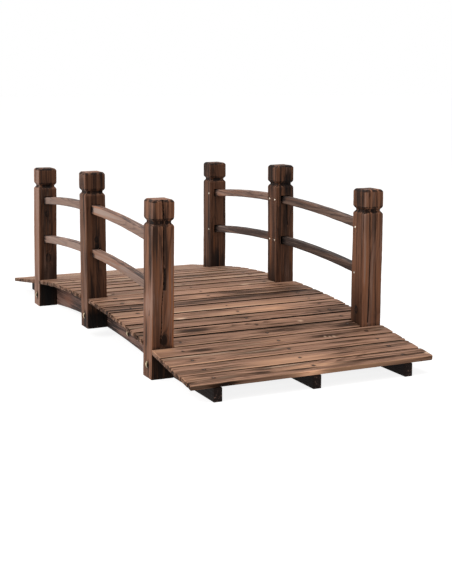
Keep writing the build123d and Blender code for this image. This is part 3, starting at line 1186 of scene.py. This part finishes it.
def lathe(name, outline):
    """Spins an outline of (radius, height) points round the Z axis."""
    bpy.ops.mesh.primitive_plane_add(size=0.001, location=(0, 0, 0))
    piece = bpy.context.object
    piece.name = name
    enter(piece)
    bpy.ops.mesh.select_mode(type="VERT")
    bpy.ops.mesh.select_all(action="SELECT")
    bpy.ops.mesh.merge(type="CENTER")
    bpy.ops.mesh.select_all(action="SELECT")
    start = Vector((outline[0][0], 0, outline[0][1]))
    bpy.ops.transform.translate(value=start)
    for radius, height in outline[1:]:
        spot = Vector((radius, 0, height))
        bpy.ops.mesh.extrude_region_move(TRANSFORM_OT_translate={"value": spot - start})
        start = spot
    bpy.ops.mesh.select_all(action="SELECT")
    bpy.ops.mesh.spin(
        steps=turns, angle=2 * math.pi, center=(0, 0, 0), axis=(0, 0, 1), use_auto_merge=True, dupli=False
    )
    bpy.ops.mesh.select_all(action="SELECT")
    bpy.ops.mesh.remove_doubles(threshold=1e-5)
    leave()
    return piece


def dome(radius, rise, steps):
    """Points of a low dome from its crown to its rim."""
    curve = (radius**2 + rise**2) / (2 * rise)
    half = math.asin(radius / curve)
    return [
        (curve * math.sin(half * step / steps), rise - curve + curve * math.cos(half * step / steps))
        for step in range(steps + 1)
    ]


def carriage_bolt(name, grip):
    head = dome(head_radius - rim_lip, head_rise - rim_height, steps=7)
    outline = [(radius, height + rim_height) for radius, height in head]
    end = -(grip + nut_height + bolt_tip)
    outline += [(head_radius, rim_edge), (head_radius, 0.0), (shank_radius, 0.0)]
    outline += [(shank_radius, end + tip_chamfer), (shank_radius - tip_chamfer, end), (0.0, end)]
    shank = lathe(name, outline)
    bpy.ops.mesh.primitive_cylinder_add(
        vertices=6, radius=nut_radius, depth=nut_height, location=(0, 0, -grip - nut_height / 2)
    )
    nut = bpy.context.object
    apply_place(nut)
    enter(nut)
    bpy.ops.mesh.bevel(offset=nut_rounding, segments=2, affect="EDGES")
    leave()
    return join([shank, nut], name)


stringer_bare = abs(stringer_lines["left"]) - stringer_thickness / 2
end_bolt = carriage_bolt("end_bolt_blank", post_outer - stringer_bare)
middle_bolt = carriage_bolt("middle_bolt_blank", post_outer - stringer_bare + plate_thickness)
splice_bolt = carriage_bolt("splice_bolt_blank", stringer_thickness + plate_thickness)
print("Faces in a bolt:", len(end_bolt.data.polygons))


# %% Place the bolts
def facing_out(x, y, z, toward):
    """Place of a bolt whose head looks along Y to one side of the bridge."""
    return Matrix.Translation((x, y, z)) @ Matrix.Rotation(-toward * math.pi / 2, 4, "X")


def darken_near_side(bolt, x):
    """Paints the near side of a bolt at x dark, as a painted dark reflection, and returns the bolt."""
    near_side = (corners_of(bolt)[:, 0] - x) / head_radius
    paint(bolt, 0.0, 0.0, 0.0, np.clip((near_side - 0.25) / 0.25, 0, 1))
    return bolt


post_bolts = []
for node in post_marks:
    low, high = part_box(node)
    toward = math.copysign(1, low.y)
    x = (low.x + high.x) / 2
    blank = end_bolt if abs(x) > half_post else middle_bolt
    place = facing_out(x, toward * post_outer, low.z + post_bolt_rise, toward)
    post_bolts.append(darken_near_side(cut_copy(blank, node + "_bolt", place), x))
splice_bolts = []
for side, line in stringer_lines.items():
    toward = -splice_sides[side]
    for x in (-splice_bolt_reach, splice_bolt_reach):
        place = facing_out(x, line + toward * stringer_thickness / 2, splice_bolt_rise, toward)
        splice_bolts.append(darken_near_side(cut_copy(splice_bolt, f"{side}_splice_bolt", place), x))
post_bolt_set = join(post_bolts, "post_bolts_brass")
splice_bolt_set = join(splice_bolts, "splice_bolts_brass")
dress(post_bolt_set, ["post_bolts"])
dress(splice_bolt_set, ["splice_bolts"])
print("Bolts:", len(post_bolts) + len(splice_bolts))

# %% [markdown]
# ## Nails and rail screws
# The small fixings are left out of the CAD model, so they are added here. A nail is a flat head with a
# rounded rim, driven just below the board's face. A screw has a domed head with a cross cut into it;
# one goes through the inner face of a post into the end of each rail.

# %% Model a nail head and drive one for each place
nail_radius, nail_thickness, nail_sink = 0.0029, 0.0012, 0.0008
rim_width, rim_rise, crown_dip = 0.0008, 0.0003, 0.0001
bpy.ops.mesh.primitive_cylinder_add(vertices=14, radius=nail_radius, depth=nail_thickness)
nail_blank = bpy.context.object
nail_blank.name = "nail_blank"
enter(nail_blank)
pick(nail_blank, "FACE", lambda face: face.normal.z > 0.9)
bpy.ops.mesh.inset(thickness=rim_width, depth=rim_rise)
bpy.ops.mesh.inset(thickness=rim_width, depth=-crown_dip)
leave()
nails = []
for spot, tilt in nail_places:
    lie = Matrix.Translation(spot + Vector((0, 0, -nail_sink))) @ Matrix.Rotation(tilt, 4, "Y")
    nails.append(cut_copy(nail_blank, "nail", lie))
nail_set = join(nails, "deck_nails")
ride_smooth(nail_set, 40)
print("Nails:", len(nails), "triangles:", triangles([nail_set]))

# %% Model a cross-headed screw and set one at each end of each rail
screw_radius, screw_rise, screw_sink = 0.0034, 0.0014, 0.001
screw_inset = 0.013
cross_cut, cross_cut_height = (0.0040, 0.0008, 0.0016), 0.0013
screw_outline = dome(screw_radius, screw_rise, steps=4)
screw_outline += [(screw_radius * 0.8, -screw_sink), (0.0, -screw_sink)]
screw_blank = lathe("screw_blank", screw_outline)
for turn in (0, math.pi / 2):
    slot_cutter = block("cross_cutter", cross_cut, (0, 0, cross_cut_height), turn)
    apply_modifier(screw_blank, "BOOLEAN", object=slot_cutter, operation="DIFFERENCE", solver="EXACT")
    bpy.data.objects.remove(slot_cutter)
screws = []
for node in rail_nodes:
    end, side, level, _ = node.split("_")
    toward = -1 if side == "left" else 1
    for x in (half_post - screw_inset, post_spacing - half_post + screw_inset):
        x *= 1 if end == "near" else -1
        y = toward * (post_outer - post_side) + lean(side, x, rail_levels[level])
        spot = facing_out(x, y, rail_height(level, abs(x)), -toward)
        screws.append(cut_copy(screw_blank, "screw", spot @ Matrix.Rotation(dice.uniform(0, 3), 4, "Z")))
screw_set = join(screws, "rail_screws")
ride_smooth(screw_set, 40)
print("Screws:", len(screws), "triangles:", triangles([screw_set]))

# %% Clear the bench: the blanks aren't part of the bridge
blanks = [*board_blanks.values(), post_blank, rail_blank, stringer_blank, plate_blank]
blanks += [end_bolt, middle_bolt, splice_bolt, nail_blank, screw_blank]
for blank in blanks:
    bpy.data.objects.remove(blank)

# %% [markdown]
# ## Shader sums as Python sums
# A wood material is a long sum of noises. One small class wraps a socket, so that plus, minus and
# times add Math nodes, and one method adds any other node from its type, settings and sockets.


# %% A socket that can be added, multiplied and mixed
class Wire:
    def __init__(self, tree, socket=None):
        self.tree = tree
        self.socket = socket

    def add(self, kind, settings=None, sockets=None, output=0):
        """Adds a node, sets it, feeds its sockets and returns one of its outputs."""
        node = self.tree.nodes.new(kind)
        for key, value in (settings or {}).items():
            if key == "stops":
                for _ in range(len(value) - 2):
                    node.color_ramp.elements.new(0.5)
                for element, (place, colour) in zip(node.color_ramp.elements, value):
                    element.position = place
                    element.color = colour
            else:
                setattr(node, key, value)
        for key, value in (sockets or {}).items():
            if isinstance(value, Wire):
                self.tree.links.new(value.socket, node.inputs[key])
            else:
                node.inputs[key].default_value = value
        return Wire(self.tree, node.outputs[output] if node.outputs else None)

    def other(self, output):
        """Another output of the same node."""
        return Wire(self.tree, self.socket.node.outputs[output])

    def maths(self, operation, first, second):
        return self.add("ShaderNodeMath", {"operation": operation}, {0: first, 1: second})

    def __add__(self, value):
        return self.maths("ADD", self, value)

    def __radd__(self, value):
        return self.maths("ADD", value, self)

    def __sub__(self, value):
        return self.maths("SUBTRACT", self, value)

    def __rsub__(self, value):
        return self.maths("SUBTRACT", value, self)

    def __mul__(self, value):
        return self.maths("MULTIPLY", self, value)

    def __rmul__(self, value):
        return self.maths("MULTIPLY", value, self)

    def fade(self, low, high):
        """Nought below low, one above high and a smooth step between."""
        settings = {"interpolation_type": "SMOOTHSTEP", "clamp": True}
        return self.add("ShaderNodeMapRange", settings, {"Value": self, "From Min": low, "From Max": high})

    def blend(self, colour, other):
        """From one colour to another by this value."""
        settings = {"data_type": "RGBA", "clamp_factor": True}
        return self.add("ShaderNodeMix", settings, {0: self, 6: colour, 7: other}, 2)


def srgb(red, green, blue):
    """A colour as a picture editor shows it, 0 to 255, in the linear values that shaders use."""
    values = []
    for value in (red, green, blue):
        value /= 255
        values.append(value / 12.92 if value <= 0.04045 else ((value + 0.055) / 1.055) ** 2.4)
    return (*values, 1.0)


def empty_material(name):
    """A new material without nodes, and a wire that adds them."""
    material = bpy.data.materials.new(name)
    material.use_nodes = True
    material.node_tree.nodes.clear()
    return material, Wire(material.node_tree)


print("Mid brown in linear values:", [round(value, 3) for value in srgb(142, 108, 90)])

# %% [markdown]
# ## Scorched wood
# Softwood grows a pale early band and a narrow dark late band each year. On a sawn face the bands
# show as lines that run with the grain and bend round knots. The bands here are the contours of a
# noise that is stretched along the grain, so they bend and close as real ones do, and they run
# through the piece to its end grain. The flame blackened some parts more than others, in clouds that
# follow the grain, and brushing brought warm wood back along edges and ridges.


# %% One recipe for all the wood, told which way its grain runs
# The near black of deep char, which also serves for painted shade.
char_and_shade_black = srgb(23, 13, 9)
knot_brown = srgb(32, 20, 14)
year_shades = {0.0: 0.0, 0.5: 0.18, 0.82: 1.0, 0.90: 1.0, 1.0: 0.0}


def scorched_wood(name, grain, pale_band, dark_band, burnt, bare, scuff, burn_from, streaky, sheen):
    material, wire = empty_material(name)
    place = wire.add("ShaderNodeTexCoord", output="Object")
    split = wire.add("ShaderNodeSeparateXYZ", sockets={0: place}, output="X")
    x, y, z = split, split.other("Y"), split.other("Z")
    along, across, deep = {"X": (x, y, z), "Y": (y, x, z), "Z": (z, x, y)}[grain]
    timber = wire.add("ShaderNodeAttribute", {"attribute_name": "timber"}, output="Color")
    timber = wire.add("ShaderNodeSeparateColor", sockets={0: timber}, output="Red")
    seed, tone, flame = timber, timber.other("Green"), timber.other("Blue")
    painted = wire.add("ShaderNodeAttribute", {"attribute_name": "wear"}, output="Color")
    knot = painted.other("Alpha")
    painted = wire.add("ShaderNodeSeparateColor", sockets={0: painted}, output="Red")
    # Red carries scorch and painted shade, green bare warm wood and painted highlights, blue pale scuffs and
    # a painted sheen.
    scorch_and_shade, warm, pale = painted, painted.other("Green"), painted.other("Blue")

    def noise(run, cross, detail, roughness, shift):
        """Noise with its own number of waves in a metre, with the grain and across it."""
        sockets = {0: along * run + seed * shift, 1: across * cross + seed * shift, 2: deep * cross}
        spot = wire.add("ShaderNodeCombineXYZ", sockets=sockets)
        sockets = {"Vector": spot, "Scale": 1.0, "Detail": detail, "Roughness": roughness}
        return wire.add("ShaderNodeTexNoise", {"noise_dimensions": "3D"}, sockets, "Fac")

    swell = noise(1.3, 13, 2, 0.45, 3.7)
    rings = swell * 24 + across * 120 + deep * 85 + knot * 5.0
    year = wire.maths("FRACT", rings, 0.0)
    stops = [(place, (shade,) * 4) for place, shade in year_shades.items()]
    late = wire.add("ShaderNodeValToRGB", {"stops": stops}, {0: year})
    fibre = noise(9, 430, 3, 0.6, 1.9) - 0.5
    streak = noise(2.6, 120, 3, 0.55, 5.3) - 0.5
    broad = noise(1.7, 42, 2, 0.5, 2.3) - 0.5
    cloud = noise(4.6, 17, 4, 0.6, 7.1) - 0.5

    bands = late * 0.40 + streak * (1.0 + streaky * 1.5) + broad * 0.8 + fibre * 1.8
    wood = bands.fade(-0.35, 0.85).blend(pale_band, dark_band)
    warmth = (warm + broad * 2.4 + streak * 0.8).fade(0.2, 1.0)
    wood = warmth.blend(wood, bare)
    flare = cloud * (2.0 - streaky) + streak * (0.6 + streaky) + broad * streaky + fibre * 0.5
    mark = scorch_and_shade * (1.0 + streak * 4.0 + broad * 1.5 + fibre * 2.5)
    flare = flare + late * 0.12 + flame * 0.4 + mark * 0.85 - warm * 0.25
    burn = flare.fade(burn_from, burn_from + 0.65)
    wood = burn.blend(wood, burnt)
    deep_burn = flare.fade(burn_from + 0.65, burn_from + 1.45)
    wood = deep_burn.blend(wood, char_and_shade_black)
    heart = (knot + fibre * 0.5).fade(0.62, 0.9)
    rim = (knot + streak * 0.6 + fibre * 0.4).fade(0.22, 0.5) - heart * 0.75
    wood = rim.blend(wood, knot_brown)
    chafe = (pale - mark * 0.8 + fibre * 1.2 + streak * 2.2 + broad * 2.0 + cloud * 1.4).fade(0.2, 1.0)
    wood = chafe.blend(wood, scuff)
    # Scorch over 1.4 turns near black: deep char, and the painted shade in gaps, mortises, under the deck and
    # by bolts.
    wood = scorch_and_shade.fade(1.4, 2.0).blend(wood, char_and_shade_black)
    lift = 1.0 + tone
    wood = wire.add("ShaderNodeVectorMath", {"operation": "SCALE"}, {0: wood, "Scale": lift})

    relief = late * 0.5 + fibre * 0.6 + streak * 0.4 - burn * 0.2
    sockets = {"Strength": 0.45, "Distance": 0.0012, "Height": relief}
    bump = wire.add("ShaderNodeBump", sockets=sockets)
    gloss = 0.62 - late * 0.08 + burn * 0.10 - chafe * 0.05
    sockets = {"Base Color": wood, "Roughness": gloss, "Normal": bump, "Specular IOR Level": sheen}
    shader = wire.add("ShaderNodeBsdfPrincipled", sockets=sockets)
    wire.add("ShaderNodeOutputMaterial", sockets={"Surface": shader})
    print(name, "nodes:", len(wire.tree.nodes))
    return material


# %% Four woods from the one recipe
deck_wood = scorched_wood(
    "deck_wood", "Y", pale_band=srgb(177, 136, 112), dark_band=srgb(92, 58, 39), burnt=srgb(62, 41, 28),
    bare=srgb(204, 156, 124), scuff=srgb(214, 180, 153), burn_from=0.08, streaky=0.6, sheen=0.08,
)
post_wood = scorched_wood(
    "post_wood", "Z", pale_band=srgb(146, 101, 76), dark_band=srgb(86, 53, 38), burnt=srgb(62, 43, 34),
    bare=srgb(160, 102, 66), scuff=srgb(160, 124, 107), burn_from=0.05, streaky=1.2, sheen=0.12,
)
rail_wood = scorched_wood(
    "rail_wood", "X", pale_band=srgb(164, 133, 117), dark_band=srgb(94, 68, 57), burnt=srgb(78, 63, 58),
    bare=srgb(162, 114, 88), scuff=srgb(172, 147, 134), burn_from=0.06, streaky=0.9, sheen=0.20,
)
stringer_wood = scorched_wood(
    "stringer_wood", "X", pale_band=srgb(134, 103, 91), dark_band=srgb(84, 60, 52), burnt=srgb(50, 39, 36),
    bare=srgb(132, 90, 72), scuff=srgb(160, 136, 124), burn_from=0.20, streaky=0.8, sheen=0.12,
)


def finish_with(pieces, material):
    for piece in pieces:
        piece.data.materials.clear()
        piece.data.materials.append(material)


finish_with(boards, deck_wood)
finish_with(posts, post_wood)
finish_with(rails, rail_wood)
finish_with(stringers + [splices], stringer_wood)

# %% [markdown]
# ## Metal
# The bolts are bright yellow-passivated steel that reads as pale brass, a little stained. The nails
# are dull and dark from the flame, and the screws are plain bright steel.


# %% Brass, nail iron and screw steel
near_side_shade_brown = srgb(42, 32, 24)


def worn_metal(name, clean, stained, roughness, size):
    material, wire = empty_material(name)
    place = wire.add("ShaderNodeTexCoord", output="Object")
    sockets = {"Vector": place, "Scale": size, "Detail": 4, "Roughness": 0.6}
    stain = wire.add("ShaderNodeTexNoise", {"noise_dimensions": "3D"}, sockets, "Fac").fade(0.42, 0.72)
    # Where the red of wear is painted, the bolt goes dark brown: a painted dark reflection on its near side.
    painted = wire.add("ShaderNodeAttribute", {"attribute_name": "wear"}, output="Color")
    near_side_shade = wire.add("ShaderNodeSeparateColor", sockets={0: painted}, output="Red")
    sockets = {
        "Base Color": near_side_shade.blend(stain.blend(clean, stained), near_side_shade_brown),
        "Roughness": roughness + stain * 0.25,
        "Metallic": 1.0,
    }
    shader = wire.add("ShaderNodeBsdfPrincipled", sockets=sockets)
    wire.add("ShaderNodeOutputMaterial", sockets={"Surface": shader})
    return material


brass = worn_metal(
    "pale_brass", clean=srgb(222, 202, 166), stained=srgb(120, 94, 62), roughness=0.30, size=220
)
nail_iron = worn_metal(
    "nail_iron", clean=srgb(92, 78, 70), stained=srgb(44, 36, 33), roughness=0.5, size=320
)
screw_steel = worn_metal(
    "screw_steel", clean=srgb(222, 212, 196), stained=srgb(160, 146, 128), roughness=0.3, size=400
)
finish_with([post_bolt_set, splice_bolt_set], brass)
finish_with([nail_set], nail_iron)
finish_with([screw_set], screw_steel)

# %% [markdown]
# ## Floor, light and camera
# The real picture is a cut-out on white, lit softly from above and from the left. The floor is a pale
# plane. For the camera it adds a little light of its own so that it reads white, and the soft shadow
# under the bridge stays. A large softbox stands to the left, a larger one hangs overhead, and the
# world fills in.


# %% A pale floor that reads white to the camera
def shown_to_camera(wire):
    """One for rays from the camera, and for those that a shiny face sends on, or else nothing."""
    seen = wire.add("ShaderNodeLightPath", output="Is Camera Ray")
    return wire.maths("MAXIMUM", seen, seen.other("Is Glossy Ray"))


floor_grey, floor_glow = 0.35, 0.86
bpy.ops.mesh.primitive_plane_add(size=60, location=(0, 0, 0))
floor = bpy.context.object
floor.name = "studio_floor"
floor_paint, wire = empty_material("floor_paint")
shown = shown_to_camera(wire)
matt = wire.add("ShaderNodeBsdfDiffuse", sockets={"Color": (floor_grey, floor_grey, floor_grey, 1)})
glow = wire.add("ShaderNodeEmission", sockets={"Color": (1, 1, 1, 1), "Strength": floor_glow})
white = wire.add("ShaderNodeAddShader", sockets={0: matt, 1: glow})
mixed = wire.add("ShaderNodeMixShader", sockets={0: shown, 1: matt, 2: white})
wire.add("ShaderNodeOutputMaterial", sockets={"Surface": mixed})
finish_with([floor], floor_paint)

# %% World and softboxes
world = bpy.data.worlds.new("studio")
bpy.context.scene.world = world
world.use_nodes = True
world.node_tree.nodes.clear()
wire = Wire(world.node_tree)
shown = shown_to_camera(wire)
backdrop = wire.add("ShaderNodeBackground", sockets={"Color": (1, 1, 1, 1), "Strength": 1.0})
fill = wire.add("ShaderNodeBackground", sockets={"Color": (1, 0.98, 0.96, 1), "Strength": 0.42})
mixed = wire.add("ShaderNodeMixShader", sockets={0: shown, 1: fill, 2: backdrop})
wire.add("ShaderNodeOutputWorld", sockets={"Surface": mixed})


def softbox(name, spot, aim, size, power):
    lamp = bpy.data.lights.new(name, "AREA")
    lamp.shape = "SQUARE"
    lamp.size = size
    lamp.energy = power
    stand = bpy.data.objects.new(name, lamp)
    bpy.context.collection.objects.link(stand)
    stand.location = spot
    stand.rotation_euler = (Vector(aim) - Vector(spot)).to_track_quat("-Z", "Y").to_euler()


softbox("left_softbox", spot=(0.4, -3.4, 2.2), aim=(0, 0, 0.2), size=2.4, power=82)
softbox("overhead_softbox", spot=(0.2, 0.4, 3.6), aim=(0, 0, 0), size=3.0, power=72)
print("Lamps:", [lamp.name for lamp in bpy.data.lights])

# %% The camera, set up as for the photograph
picture_height = 584
focal_pixels = 1122.72
optical_row = 201.33
camera_spot = Vector((3.02254, -1.33857, 0.75236))
yaw, pitch, roll = (math.radians(angle) for angle in (154.3191, -6.5149, 0.258))
forward = Vector((math.cos(pitch) * math.cos(yaw), math.cos(pitch) * math.sin(yaw), math.sin(pitch)))
level = Vector((math.sin(yaw), -math.cos(yaw), 0))
upright = level.cross(forward)
right = math.cos(roll) * level + math.sin(roll) * upright
up = math.cos(roll) * upright - math.sin(roll) * level
lens = bpy.data.cameras.new("photo_lens")
lens.sensor_width = 36.0
lens.lens = focal_pixels / picture_height * lens.sensor_width
lens.shift_y = (optical_row - picture_height / 2) / picture_height
camera = bpy.data.objects.new("photo_camera", lens)
bpy.context.collection.objects.link(camera)
camera.matrix_world = Matrix.Translation(camera_spot) @ Matrix((right, up, -forward)).transposed().to_4x4()
bpy.context.scene.camera = camera
bpy.context.scene.view_settings.view_transform = "Standard"
print(f"Lens {lens.lens:.1f} mm, shift {lens.shift_y:.3f}")
